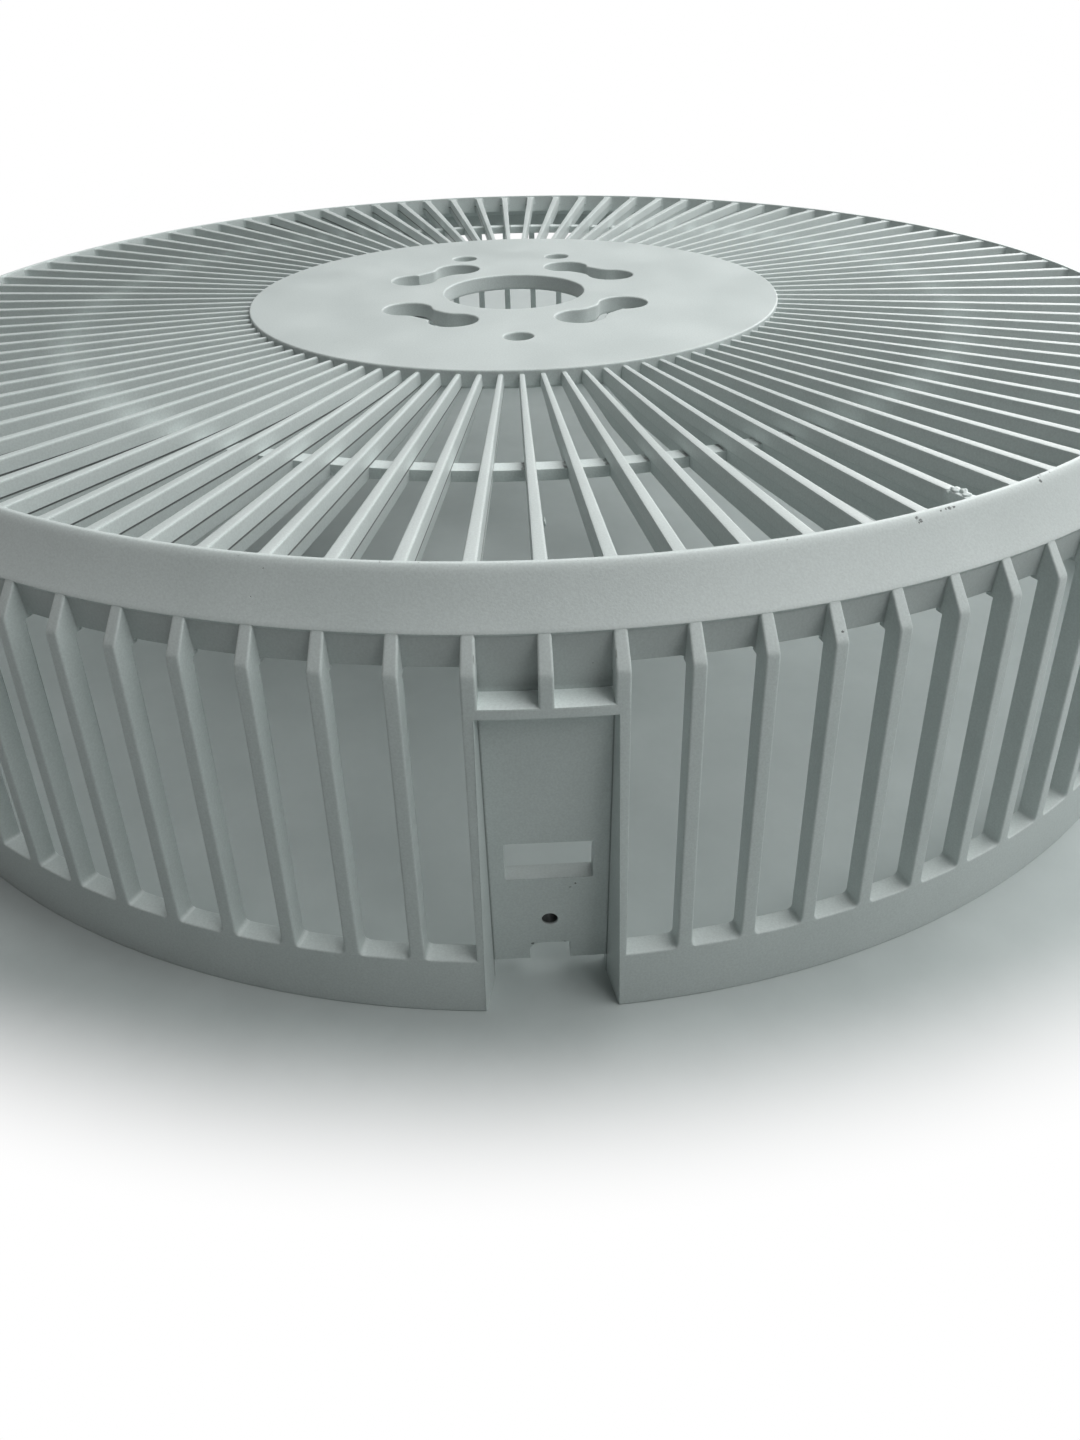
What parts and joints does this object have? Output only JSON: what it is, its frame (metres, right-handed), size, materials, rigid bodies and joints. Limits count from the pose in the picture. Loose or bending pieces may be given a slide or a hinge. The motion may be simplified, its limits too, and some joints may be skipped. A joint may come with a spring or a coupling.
{
  "type": "desk fan rear guard",
  "caption": "Round rear guard of a desk fan: slotted hub plate, straight radial ribs, upright side bars on a bottom ring, and a small mounting panel set back between two posts.",
  "frame": {"origin": "on the guard's axis, at the level of the bottom ring's lower face", "axes": "+Z along the guard's axis, from the open ring to the hub plate; the mounting panel is at -Y"},
  "size_m": [0.3506, 0.3502, 0.0785],
  "materials": {
    "guard_plastic": "satin"
  },
  "bodies": {
    "root": {"rear_guard": "guard_plastic"}
  },
  "joints": []
}
